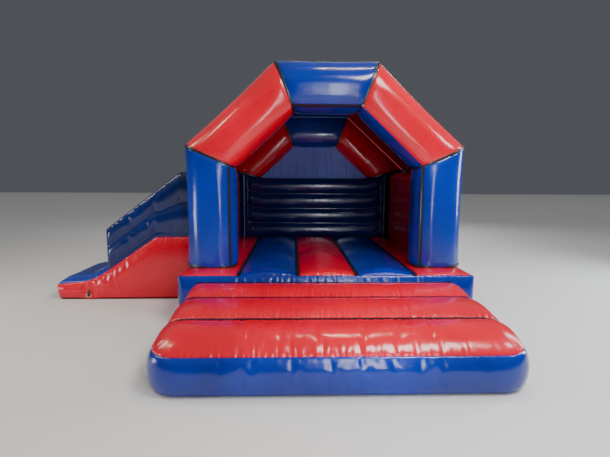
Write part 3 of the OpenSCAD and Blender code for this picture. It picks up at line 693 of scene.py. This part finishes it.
for side, word in ((-1, "left"), (1, "right")):
    for name, corners in (("foot", column_corners), ("eave", slope_corners), ("top", level_corners)):
        tape_ring(f"front_{name}_tape_{word}", mirror_x(corners, side), FRONT_Y, FRONT_BACK_Y, 0.036,
                  start=0.026 if name == "foot" else 0)
    for name, b in (("front", 0.0), ("back", 1.0)):
        c = np.linspace(0.01, 0.99, 60)
        unit = np.column_stack([0 * c, 0 * c + b, c])
        line = tube_points(unit, mirror_x(column_corners, side), FRONT_Y, FRONT_BACK_Y)
        facing = np.array((-side, 1 if b else -1, 0))
        tape = ribbon(f"column_tape_{name}_{word}", line + facing * 0.004, facing, 0.036)
        fit(tape, [black_tape], soft=None)
c = np.linspace(0.005, 0.995, 40)
for name, b in (("front", 0.0), ("back", 1.0)):
    line = tube_points(np.column_stack([0 * c, 0 * c + b, c]), level_corners, FRONT_Y, FRONT_BACK_Y)
    facing = np.array((0, 1 if b else -1, -1.0))
    fit(ribbon(f"level_tape_{name}", line + facing * 0.004, facing, 0.034), [black_tape], soft=None)


# ---- rear arch ----
# The same tubes at the back, a little lower. Its posts stand in the castle's rear corners.

REAR_Y, REAR_BACK_Y = 1.34, 1.83
REAR_DROP = 0.225
post_corners = [(1.455, FOOT_Z), (1.83, FOOT_Z), (1.455, 1.893), (1.83, 1.985)]
rear_slope_corners = [(1.076, 1.799), (1.835, 1.992), (INNER_TOP_X, INNER_TOP_Z - REAR_DROP),
                      (TOP_X, ROOF_Z - REAR_DROP)]
rear_level_corners = [(x, z - REAR_DROP) for x, z in level_corners]
rear_tubes = []
for side, word in ((-1, "left"), (1, "right")):
    rear_tubes.append((*arch_tube(f"rear_post_tube_{word}", mirror_x(post_corners, side), REAR_Y, REAR_BACK_Y,
                                  (12, 14, 36)), [blue_fabric], f"rear_column_{word}"))
    rear_tubes.append((*arch_tube(f"rear_slope_tube_{word}", mirror_x(rear_slope_corners, side), REAR_Y,
                                  REAR_BACK_Y, (16, 16, 36)), [red_fabric], f"rear_diagonal_{word}"))
rear_tubes.append((*arch_tube("rear_level_tube", rear_level_corners, REAR_Y, REAR_BACK_Y, (16, 16, 32)),
                   [blue_fabric], "rear_top_beam"))
raise_tubes(rear_tubes)
for side, word in ((-1, "left"), (1, "right")):
    for name, corners in (("foot", rear_slope_corners), ("top", rear_level_corners)):
        tape_ring(f"rear_{name}_tape_{word}", mirror_x(corners, side), REAR_Y, REAR_BACK_Y, 0.034)


# ---- walls ----
# The rear wall is four stacked tubes; its ends rise to the rear slopes and are gathered.
# The side walls are thick red pads, and the left one is cut down at the slide.

def pad_points(unit, low, high, bulge):
    """A block between two corners whose faces swell out, bulge metres along each axis."""
    low, high = np.array(low, float), np.array(high, float)
    size = high - low
    points = low + unit * size
    for axis in range(3):
        others = [k for k in range(3) if k != axis]
        reach = min(size[k] for k in others) / 2
        full = 1.0
        for k in others:
            full = full * swell(np.minimum(unit[:, k], 1 - unit[:, k]) * size[k], reach)
        outward = np.where(unit[:, axis] == 1, 1, np.where(unit[:, axis] == 0, -1, 0))
        points[:, axis] += bulge[axis] * full * outward
    return points


def rear_wall_top(x):
    """Top line of the rear wall: level, then rising to the feet of the rear slopes."""
    return np.where(np.abs(x) < 1.08, 1.772, 1.79 + (np.abs(x) - 1.08) * 0.253)


def two_faces(t, front, back, depth, bulge):
    """Places a block between a front and a back plane, both faces swollen by bulge."""
    return np.where(t == 0, front - bulge, np.where(t == 1, back + bulge, front + depth * t))


# The wall's cuts along X, and how many of them belong to its tubes and to its two end rolls
WALL_CUTS, TUBE_CUTS, ROLL_CUTS = 88, 74, 14
END_ROLL_X, WALL_END_X = 1.335, 1.452
WALL_Y = 1.42
rear_wall = cut_block("rear_wall_tubes", (WALL_CUTS, 8, 40))
unit = points_of(rear_wall)
way = np.abs(2 * unit[:, 0] - 1)
roll_x = (way - TUBE_CUTS / WALL_CUTS) * WALL_CUTS / ROLL_CUTS * (WALL_END_X - END_ROLL_X)
x = np.where(way < TUBE_CUTS / WALL_CUTS, way * END_ROLL_X * WALL_CUTS / TUBE_CUTS, END_ROLL_X + roll_x)
x = np.sign(unit[:, 0] - 0.5) * x
height = rear_wall_top(x) - FOOT_Z
tube = (unit[:, 2] * 4) % 1.0
roll = np.clip((np.abs(x) - END_ROLL_X) / (WALL_END_X - END_ROLL_X), 0, 1)
tube_bulge = 0.070 * arc(tube) ** 0.75 * swell(END_ROLL_X - np.abs(x), 0.14)
full = np.where(roll > 0, 0.085 * arc(roll) ** 0.6, tube_bulge)
y = two_faces(unit[:, 1], WALL_Y, 1.76, 0.34, full)
crown = 0.02 * swell(np.minimum(unit[:, 1], 1 - unit[:, 1]), 0.5)
z = FOOT_Z + height * unit[:, 2] + np.where(unit[:, 2] == 1, crown, 0)
shape(rear_wall, x, y, z)
end_seam = np.abs(way - TUBE_CUTS / WALL_CUTS) < 1e-6
held = (tube < 1e-6) | end_seam | (way == 1) | ~at_ends(unit[:, 1])
blow_up([(rear_wall, held)], slack=0.005, pressure=10.0, limit=0.012)
smooth_skin(rear_wall)
for side in (-1, 1):
    end, roll_seam = side * WALL_END_X, side * END_ROLL_X
    gather(rear_wall, [(end, 1.40, 0.62), (end, 1.40, 1.87)], 0.012, 0.11, 0.045, seed=61)
    gather(rear_wall, [(roll_seam, WALL_Y, 0.62), (roll_seam, WALL_Y, 1.82)], 0.010, 0.10, 0.050, seed=63)
# A darker copy of the blue fabric: painted shade for the rear wall and the slide's safety walls, which stand
# in shade.
shaded_blue_fabric = coated_fabric("shaded_blue_fabric", (0.001, 0.010, 0.085), (0.002, 0.016, 0.14))
fit(rear_wall, [shaded_blue_fabric], "rear_wall")

wall_pads = []
for name, low, high, node in (
        ("side_wall_pad_right", (1.485, -0.965, FOOT_Z), (1.805, 1.335, 1.875), "side_wall_right"),
        ("side_wall_pad_front", (-1.805, -0.965, FOOT_Z), (-1.485, -0.545, 1.875), "side_wall_left"),
        ("side_wall_pad_rear", (-1.805, 0.395, FOOT_Z), (-1.485, 1.335, 1.875), "side_wall_left"),
        ("side_wall_sill", (-1.805, -0.535, FOOT_Z), (-1.485, 0.385, 0.915), "side_wall_left")):
    long = [max(4, int((b - a) / 0.04)) for a, b in zip(low, high)]
    piece = cut_block(name, long)
    unit = points_of(piece)
    move_points(piece, pad_points(unit, low, high, (0.025, 0.012, 0.02)))
    face_outwards(piece)
    edges = sum(at_ends(unit[:, k]).astype(int) for k in range(3))
    wall_pads.append((piece, edges >= 2, node))
blow_up([(piece, held) for piece, held, _ in wall_pads], slack=0.010, pressure=12.0, limit=0.015)
for piece, _, node in wall_pads:
    smooth_skin(piece)
    fit(piece, [red_fabric], node)


# ---- slide ----
# A blue platform, slope and run-out between red sides, with two-tube safety walls
# that follow the platform and then the slope.

SLIDE_LINE = [(-1.83, 0.930), (-2.43, 0.925), (-3.16, 0.420), (-3.30, 0.330), (-3.47, 0.265), (-3.91, 0.218)]
SLIDE_NEAR, SLIDE_FAR = -0.80, 0.65
SLIDE_BACK, SLIDE_END, SAFETY_END = -1.834, -3.91, -3.155
WALL_LINE = [(-1.83, 1.885), (-2.06, 1.868), (-3.16, 1.030)]


def line_height(x, line):
    """Height of a falling line of (x, z) points at x."""
    return np.interp(-x, [-p[0] for p in line], [p[1] for p in line])


slide_parts = []
for word, near in (("near", True), ("far", False)):
    piece = cut_block(f"slide_side_panel_{word}", (72, 3, 16))
    unit = points_of(piece)
    x = SLIDE_BACK + (SLIDE_END + 0.012 - SLIDE_BACK) * unit[:, 0]
    z = 0.010 + (line_height(x, SLIDE_LINE) - 0.014) * unit[:, 2]
    clear = clear_of_fittings(x, 0 * x + (SLIDE_NEAR if near else SLIDE_FAR), z)
    out = 0.040 * swell(x - SLIDE_END, 0.15) * arc(unit[:, 2]) ** 0.6 * clear + 0.030 * (1 - clear)
    y = np.where(unit[:, 1] == 0, -out, 0.055 * unit[:, 1])
    y = SLIDE_NEAR + 0.035 + y if near else SLIDE_FAR - 0.035 - y
    x = x + 0.035 * unit[:, 0] * (1 - unit[:, 2])
    shape(piece, x, y, z)
    held = (clear < 0.3) | (unit[:, 1] > 0) | at_ends(unit[:, 2]) | at_ends(unit[:, 0])
    slide_parts.append((piece, held, red_fabric, f"slide_side_{word}"))

bed = cut_block("slide_bed_panel", (72, 34, 4))
unit = points_of(bed)
x = SLIDE_BACK + (SLIDE_END - SLIDE_BACK) * unit[:, 0]
span = SLIDE_FAR - SLIDE_NEAR - 0.08
y = SLIDE_NEAR + 0.04 + span * unit[:, 1]
edge = swell(np.minimum(unit[:, 1], 1 - unit[:, 1]) * span, 0.30) * swell(x - SLIDE_END, 0.20)
top = line_height(x, SLIDE_LINE) - 0.006 + 0.065 * edge
z = UNDERSIDE_Z + (top - UNDERSIDE_Z) * unit[:, 2]
x = x + (0.012 + 0.04 * (1 - unit[:, 2])) * (unit[:, 0] == 1)
shape(bed, x, y, z)
free = (unit[:, 2] == 1) & ~at_ends(unit[:, 0]) & ~at_ends(unit[:, 1])
slide_parts.append((bed, ~free, blue_fabric, "slide_bed"))

WALL_FOOT = 0.08
for word, near in (("near", True), ("far", False)):
    piece = cut_block(f"slide_wall_tubes_{word}", (48, 6, 26))
    unit = points_of(piece)
    x = SLIDE_BACK + (SAFETY_END - SLIDE_BACK) * unit[:, 0]
    foot = line_height(x, SLIDE_LINE) - 0.01
    top = line_height(x, WALL_LINE) - 0.012
    rise = unit[:, 2] * (top - foot)
    part = np.clip((rise - WALL_FOOT) / (top - foot - WALL_FOOT), 0, 1)
    full = np.where(rise < WALL_FOOT, 0.25 * arc(rise / WALL_FOOT), arc((part * 2) % 1.0) ** 0.7)
    bulge = 0.034 * full * swell(x - SAFETY_END, 0.05)
    y = two_faces(unit[:, 1], 0.062, 0.208, 0.146, bulge)
    z = foot + rise + np.where(unit[:, 2] == 1, 0.02 * arc(unit[:, 1]), 0)
    x = x - np.where(unit[:, 0] == 1, 0.012 * arc(unit[:, 1]) * arc((part * 2) % 1.0), 0)
    y = SLIDE_NEAR + y if near else SLIDE_FAR - y
    shape(piece, x, y, z)
    seam = (np.abs(part - 0.5) < 0.02) | (np.abs(rise - WALL_FOOT) < 0.02) | at_ends(unit[:, 2])
    held = seam | at_ends(unit[:, 0]) | ~at_ends(unit[:, 1])
    # The safety walls take the darker copy of the blue fabric, which is painted shade.
    slide_parts.append((piece, held, shaded_blue_fabric, f"slide_wall_{word}"))
blow_up([(piece, held) for piece, held, _, _ in slide_parts], slack=0.012, pressure=12.0, limit=0.018)
for index, (piece, _, paint, node) in enumerate(slide_parts):
    smooth_skin(piece)
    if index < 2:
        y = SLIDE_NEAR + 0.03 if index == 0 else SLIDE_FAR - 0.03
        seam = [(px, y, pz) for px, pz in SLIDE_LINE]
        gather(piece, seam, 0.012, 0.20, 0.055, seed=70 + index)
    elif index == 2:
        for y in (SLIDE_NEAR + 0.04, SLIDE_FAR - 0.04):
            gather(piece, [(px, y, pz) for px, pz in SLIDE_LINE[2:]], 0.010, 0.22, 0.06, seed=73)
        gather(piece, [(SLIDE_END, SLIDE_NEAR, 0.2), (SLIDE_END, SLIDE_FAR, 0.2)], 0.008, 0.2, 0.06, seed=74)
    else:
        y = SLIDE_NEAR + 0.07 if index == 3 else SLIDE_FAR - 0.07
        gather(piece, [(px, y, pz) for px, pz in WALL_LINE], 0.014, 0.12, 0.06, seed=75 + index)
    fit(piece, [paint], node)


# ---- rain cover ----
# One cloth over the cabin: a blue top between red slopes, sewn to the arches' shoulders.
# It hangs a little slack between them, with a free flap down each side.

def cut_sheet(name, across, along):
    """A flat unit sheet from 0 to 1 in X and Y, cut into even squares."""
    bpy.ops.object.select_all(action="DESELECT")
    bpy.ops.mesh.primitive_grid_add(x_subdivisions=across, y_subdivisions=along, size=1,
                                    location=(0.5, 0.5, 0))
    return name_added(name)


def thicken(cloth, thick=0.003):
    """Gives a sheet its thickness, half to each side, and smooth shading."""
    pick(cloth)
    gauge = cloth.modifiers.new("gauge", "SOLIDIFY")
    gauge.thickness = thick
    gauge.offset = 0
    bpy.ops.object.modifier_apply(modifier="gauge")
    bpy.ops.object.shade_smooth()


COVER_LINE = [(-1.842, 2.062), (-1.842, 2.209), (-TOP_X, ROOF_Z), (TOP_X, ROOF_Z), (1.842, 2.209),
              (1.842, 2.062)]
COVER_FRONT, COVER_BACK = -1.045, 1.405
cover = cut_sheet("rain_cover", 150, 70)
flat = points_of(cover)
corners = np.array(COVER_LINE)
walked = np.concatenate([[0], np.cumsum(np.linalg.norm(np.diff(corners, axis=0), axis=1))])
spot = flat[:, 0] * walked[-1]
x, z = np.interp(spot, walked, corners[:, 0]), np.interp(spot, walked, corners[:, 1])
legs = np.diff(corners, axis=0) / np.diff(walked)[:, None]
mixed = np.zeros((len(spot), 2))
for shift in (-0.06, -0.03, 0.0, 0.03, 0.06):
    mixed += legs[np.clip(np.searchsorted(walked, spot + shift, side="right") - 1, 0, 4)]
mixed /= np.linalg.norm(mixed, axis=1, keepdims=True)
y = COVER_FRONT + (COVER_BACK - COVER_FRONT) * flat[:, 1]
from_edge = np.minimum(y - COVER_FRONT, COVER_BACK - y)
tuck = 0.075 * (1 - swell(from_edge, 0.15))
over = np.clip((spot - walked[1]) / (walked[4] - walked[1]), 0, 1)
hang = 0.035 * arc(flat[:, 1]) * np.sin(math.pi * over) ** 0.5
ripple = 0.006 * np.sin(spot * 14 + 2.2 * np.sin(5 * y)) * arc(flat[:, 1]) + 0.005 * np.sin(9 * y + 3 * spot)
flap = np.clip((walked[1] - np.minimum(spot, walked[-1] - spot)) / walked[1], 0, 1)
inward = tuck * (1 - flap) + hang - ripple * (0.3 + flap)
x, z = x + mixed[:, 1] * inward, z - np.abs(mixed[:, 0]) * inward
z = z - REAR_DROP * np.clip((y - FRONT_BACK_Y) / (REAR_Y - FRONT_BACK_Y), 0, 1)
x = x + np.sign(x) * flap * 0.004 * np.sin(21 * y)
move_points(cover, np.column_stack([x, y, z]))
for face in cover.data.polygons:
    face.material_index = 1 if abs(face.center.x) > TOP_X else 0
thicken(cover, 0.003)
cover_blue = coated_fabric("cover_blue", (0.008, 0.030, 0.17), (0.013, 0.045, 0.24), gloss=0.42)
cover_red = coated_fabric("cover_red", (0.30, 0.006, 0.012), (0.40, 0.010, 0.020), gloss=0.42)
fit(cover, [cover_blue, cover_red], "roof_cover", soft=None)


# ---- rear curtain ----
# A light cloth that closes the rear arch above the wall. It is gathered along the top
# and hangs in upright pleats.

CURTAIN_Y = 1.585
CURTAIN_FOOT_Z, CURTAIN_TOP_Z = 1.779, 2.450
curtain = cut_sheet("curtain", 240, 40)
flat = points_of(curtain)
z = CURTAIN_FOOT_Z + (CURTAIN_TOP_Z - CURTAIN_FOOT_Z) * flat[:, 1]
half = np.minimum(1.125, 0.44 + (2.455 - z) * 1.085)
x = (2 * flat[:, 0] - 1) * half
across = (2 * flat[:, 0] - 1) * 0.16 + x * 0.84
dice = random.Random(81)
pleat = np.zeros(len(x))
at = -1.06
while at < 1.06:
    wide = dice.uniform(0.012, 0.034)
    pleat += dice.uniform(0.010, 0.022) * np.exp(-(across - at) ** 2 / wide ** 2)
    at += dice.uniform(0.05, 0.21)
y = CURTAIN_Y - 0.006 + pleat * (0.55 + 0.45 * (1 - flat[:, 1])) - 0.010 * arc(flat[:, 1])
move_points(curtain, np.column_stack([x, y, z]))
thicken(curtain, 0.0015)
# The curtain's own blue is painted brighter: painted light that stands in for light shining through the cloth
# from behind.
backlit_curtain_paint = coated_fabric("backlit_curtain_paint", (0.13, 0.19, 0.58), (0.19, 0.26, 0.72), gloss=0.66,
                              creases=0.5, coat=0.0)
fit(curtain, [backlit_curtain_paint], "rear_curtain", soft=None)


# ---- ground sheet, anchors and zip ----
# A black sheet under the whole castle. Sewn patches carry a webbing loop each, and a steel
# D ring turns in it. At the back a zip lets the air out, under a hanging flap.

ground_fabric = coated_fabric("ground_fabric", (0.012, 0.012, 0.014), (0.030, 0.030, 0.033), gloss=0.55)
for name, low, high in (("ground_castle", (-1.80, -1.80), (1.80, 1.80)), ("ground_step", None, None),
                        ("ground_slide", (-3.845, -0.775), (-1.80, 0.625))):
    ground = cut_sheet(name, 60, 30)
    flat = points_of(ground)
    if low is None:
        x, drawn = step_reach(2 * flat[:, 0] - 1)
        y = -1.80 + (STEP_FRONT_Y + 0.03 + drawn + 1.80) * flat[:, 1]
        x, size = STEP_X + 0.98 * x, (3.2, 1.72)
    else:
        x, y = (low[k] + (high[k] - low[k]) * flat[:, k] for k in (0, 1))
        size = (high[0] - low[0], high[1] - low[1])
    shape(ground, x, y, np.full(len(x), 0.0035))
    thicken(ground, 0.003)
    fit(ground, [ground_fabric], "ground_sheets", soft=None)

webbing = coated_fabric("webbing", (0.010, 0.010, 0.012), (0.022, 0.022, 0.026), gloss=0.62, creases=0.3)
RING_OUT, RING_Z = 0.014, 0.078
for name, at_x, at_y, turn in ANCHORS:
    away = Vector((math.cos(math.radians(turn)), math.sin(math.radians(turn)), 0))
    beside = np.array((-away.y, away.x, 0.0))
    out = np.array(away)
    base = np.array((at_x, at_y, 0.0))
    patch = cut_block(f"anchor_patch_{name}", (1, 10, 12))
    unit = points_of(patch)
    wide = 0.062 - 0.040 * unit[:, 2] ** 1.5
    side = (2 * unit[:, 1] - 1) * wide
    up = 0.012 + 0.150 * unit[:, 2] - 0.02 * np.abs(2 * unit[:, 1] - 1) * unit[:, 2]
    proud = 0.0035 * unit[:, 0] - 0.010 + 0.0055 * swell(wide - np.abs(side) + 0.004, 0.01)
    rise = np.array((0, 0, 1.0)) * up[:, None]
    move_points(patch, base + out * proud[:, None] + beside * side[:, None] + rise)
    face_outwards(patch)
    fit(patch, [red_fabric if name.startswith("slide") else blue_fabric], "anchor_tabs", soft=None)
    bend = np.linspace(math.radians(120), math.radians(-120), 14)
    loop = [(-0.003, 0.150), (-0.001, 0.120), (0.003, 0.098)]
    loop += [(RING_OUT + 0.0062 * math.cos(a), RING_Z + 0.0062 * math.sin(a)) for a in bend]
    loop += [(0.003, 0.060), (-0.001, 0.040), (-0.003, 0.020)]
    line = np.array([base + out * p + np.array((0, 0, q)) for p, q in loop])
    pull = np.gradient(line, axis=0)
    strap = ribbon(f"anchor_loop_{name}", line, np.cross(beside, pull), 0.034, 0.0010)
    fit(strap, [webbing], "anchor_tabs", soft=None)

flap = cut_sheet("zip_cover_flap", 68, 14)
flat = points_of(flap)
FLAP_HALF, FLAP_TOP_Z, FLAP_DROP, FLAP_Y = 0.34, 0.352, 0.130, 1.8472
x = -FLAP_HALF + 2 * FLAP_HALF * flat[:, 0]
z = FLAP_TOP_Z - FLAP_DROP * (1 - flat[:, 1])
y = FLAP_Y + 0.0025 * np.sin(26 * x) * (1 - flat[:, 1])
move_points(flap, np.column_stack([x, y, z]))
thicken(flap, 0.0012)
fit(flap, [blue_fabric], "zip_flap", soft=None)
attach(flap, "zip_flap")


# ---- inflation sleeve ----
# A fabric hose from the blower's spout to the base. A webbing strap holds it on the spout,
# and the air keeps it round between shallow folds.

SPOUT_X, SLEEVE_END_X = -2.878, -1.812
SLEEVE_Y, SLEEVE_Z = 1.43, 0.127
sleeve = cut_block("sleeve_hose", (44, 16, 16))
unit = points_of(sleeve)
p, q = tube_section(unit[:, 1], unit[:, 2], 2.0, 2.0)
way = unit[:, 0]
x = SPOUT_X + (SLEEVE_END_X - SPOUT_X) * way
turn = np.arctan2(q, p)
tight = 0.1215 - 0.003 * np.exp(-((x + 2.82) / 0.03) ** 2)
folds = 0.0045 * np.sin(9 * turn + 3 * np.sin(11 * x)) * np.exp(-((x + 2.74) / 0.10) ** 2)
folds += 0.006 * np.sin(11 * turn + 1.0) * np.exp(-((x + 1.83) / 0.10) ** 2)
folds += 0.003 * np.sin(3 * turn + 17 * x) * arc(way)
radius = tight + folds
shape(sleeve, x, SLEEVE_Y + radius * p, np.maximum(0.006, SLEEVE_Z + radius * q))
smooth_skin(sleeve)
fit(sleeve, [blue_fabric], "inflation_sleeve")


# ---- blower and fittings ----
# The moulded blower stands behind the slide; its parts keep their own shapes here.
# Moulded plastic, cast motor, steel and rubber each get their own finish.

def moulded(name, deep, bright, rough, grain=0.25, metal=0.0):
    """A solid fitting's finish: two close tones, fine grain and handling marks."""
    paint = bpy.data.materials.new(name)
    paint.use_nodes = True
    nodes, links = paint.node_tree.nodes, paint.node_tree.links
    shader = nodes["Principled BSDF"]
    shader.inputs["Metallic"].default_value = metal
    coords = nodes.new("ShaderNodeTexCoord")
    tone = blend_tones(nodes, links, coords, 9.0, 5, 0.35, 0.70, (deep, bright))
    links.new(tone.outputs["Color"], shader.inputs["Base Color"])
    rub = blend_tones(nodes, links, coords, 30.0, 6, 0.40, 0.75, ((rough,) * 3, (rough + 0.15,) * 3))
    links.new(rub.outputs["Color"], shader.inputs["Roughness"])
    grit = nodes.new("ShaderNodeTexNoise")
    grit.inputs["Scale"].default_value = 420
    links.new(coords.outputs["Object"], grit.inputs["Vector"])
    bump = add_bump(nodes, links, grit.outputs["Fac"], grain, 0.0006)
    links.new(bump.outputs["Normal"], shader.inputs["Normal"])
    return paint


FINISHES = {
    "blower_shell": moulded("shell_plastic", (0.72, 0.25, 0.012), (0.86, 0.33, 0.020), 0.38),
    "blower_black": moulded("black_plastic", (0.010, 0.010, 0.011), (0.022, 0.022, 0.024), 0.45),
    "impeller_plastic": moulded("wheel_plastic", (0.05, 0.05, 0.055), (0.09, 0.09, 0.095), 0.40),
    "motor_paint": moulded("motor_paint", (0.06, 0.065, 0.07), (0.10, 0.105, 0.11), 0.35, 0.6),
    "shaft_steel": moulded("ground_steel", (0.50, 0.50, 0.51), (0.62, 0.62, 0.63), 0.22, 0.1, 1.0),
    "ring_steel": moulded("plated_steel", (0.48, 0.48, 0.50), (0.66, 0.66, 0.68), 0.28, 0.2, 1.0),
    "zip_metal": moulded("zip_metal", (0.38, 0.37, 0.35), (0.55, 0.54, 0.52), 0.30, 0.3, 1.0),
    "grip_black": moulded("soft_grip", (0.008, 0.008, 0.009), (0.018, 0.018, 0.020), 0.68, 0.8),
    "foot_rubber": moulded("foot_rubber", (0.012, 0.012, 0.012), (0.028, 0.027, 0.026), 0.80, 0.9),
    "rocker_red": moulded("rocker_plastic", (0.55, 0.010, 0.012), (0.68, 0.016, 0.018), 0.30),
    "tape_black": black_tape, "webbing_black": webbing, "pvc_blue": blue_fabric, "web_pvc": blue_fabric,
    "pvc_red": red_fabric,
    "ground_pvc": ground_fabric,
}
for part in frame["record"]["subparts"]:
    solid = frame["nodes"][part["node"]]
    if not solid.hide_render and part["material_slot"] in FINISHES:
        solid.data.materials.clear()
        solid.data.materials.append(FINISHES[part["material_slot"]])
